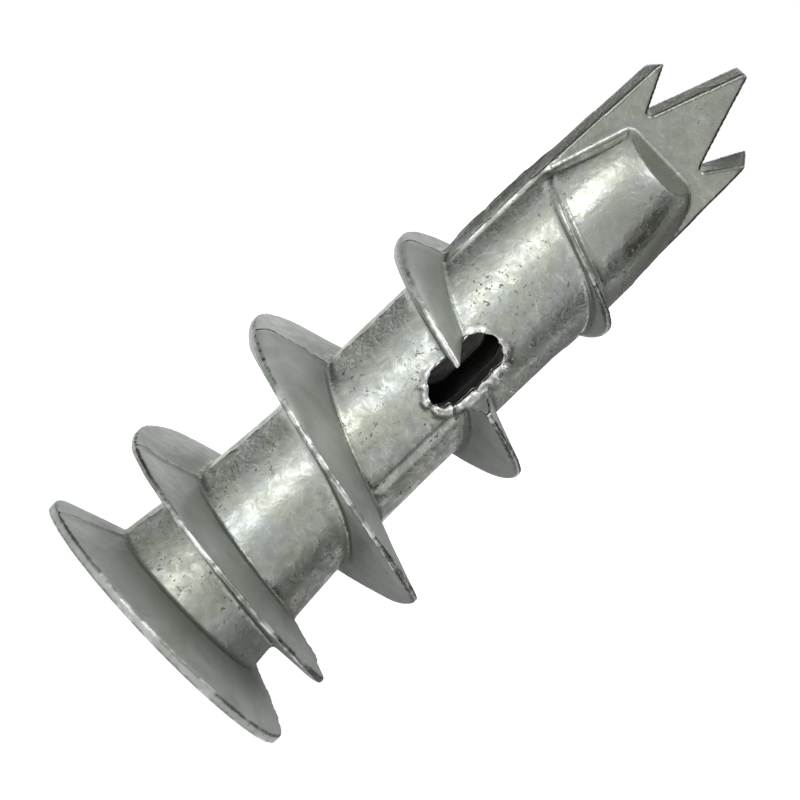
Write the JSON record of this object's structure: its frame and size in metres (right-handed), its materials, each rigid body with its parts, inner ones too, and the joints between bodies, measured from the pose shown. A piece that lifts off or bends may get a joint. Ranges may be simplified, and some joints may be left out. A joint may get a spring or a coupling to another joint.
{
  "type": "self-drilling drywall anchor",
  "caption": "Cast zinc wallboard anchor with a flat head, a cross recess, a coarse tapering thread, a windowed hollow shank and a pointed drill blade.",
  "frame": {"origin": "centre of the head's flat outer face, on which the anchor stands", "axes": "+Z along the screw bore from the head to the drill tip; the dies part in XZ, the blade lies across X, and the pictured side faces -Y"},
  "size_m": [0.0154, 0.0154, 0.038],
  "materials": {
    "zinc": "as-cast zinc alloy, dull grey, slightly mottled"
  },
  "bodies": {
    "root": {"anchor": "zinc"}
  },
  "joints": []
}
